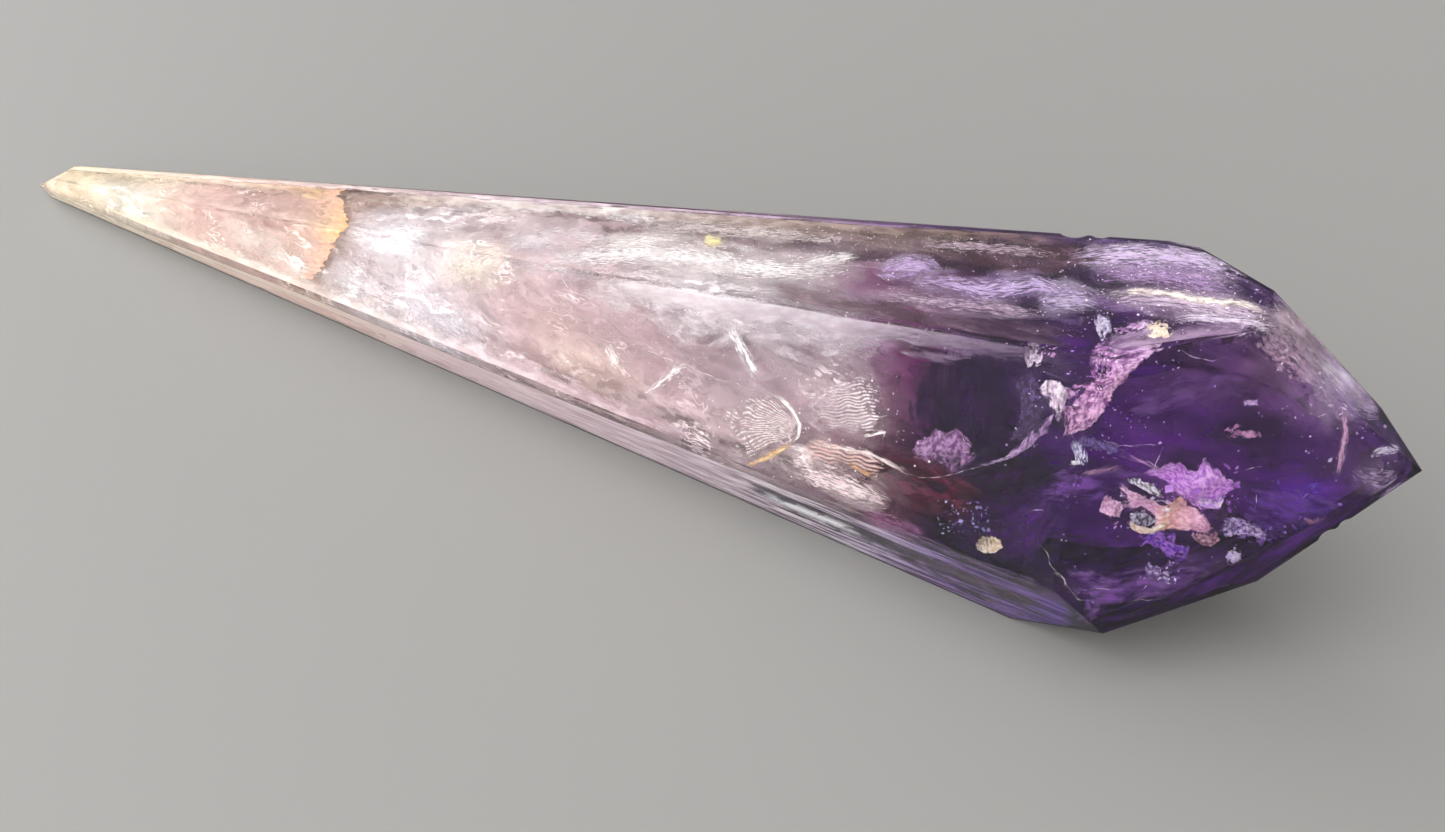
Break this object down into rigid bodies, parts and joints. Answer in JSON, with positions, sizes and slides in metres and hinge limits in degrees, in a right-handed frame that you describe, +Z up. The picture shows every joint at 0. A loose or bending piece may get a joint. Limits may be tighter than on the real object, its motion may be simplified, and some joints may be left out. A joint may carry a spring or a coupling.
{
  "type": "amethyst point",
  "caption": "Long tapering six-sided quartz point, cut and polished, thin end milky, thick end violet, lying on one flat side face.",
  "frame": {"origin": "on the surface that the stone lies on, under the middle of its box", "axes": "+X along the long axis towards the thick end, +Z up, -Y towards the viewer of the picture"},
  "size_m": [0.2474, 0.045, 0.0512],
  "materials": {
    "amethyst": "polished clear quartz, milky and pinkish at the thin end, deep violet at the thick end, with white veils and rusty specks inside"
  },
  "bodies": {
    "root": {"amethyst_point": "amethyst"}
  },
  "joints": []
}
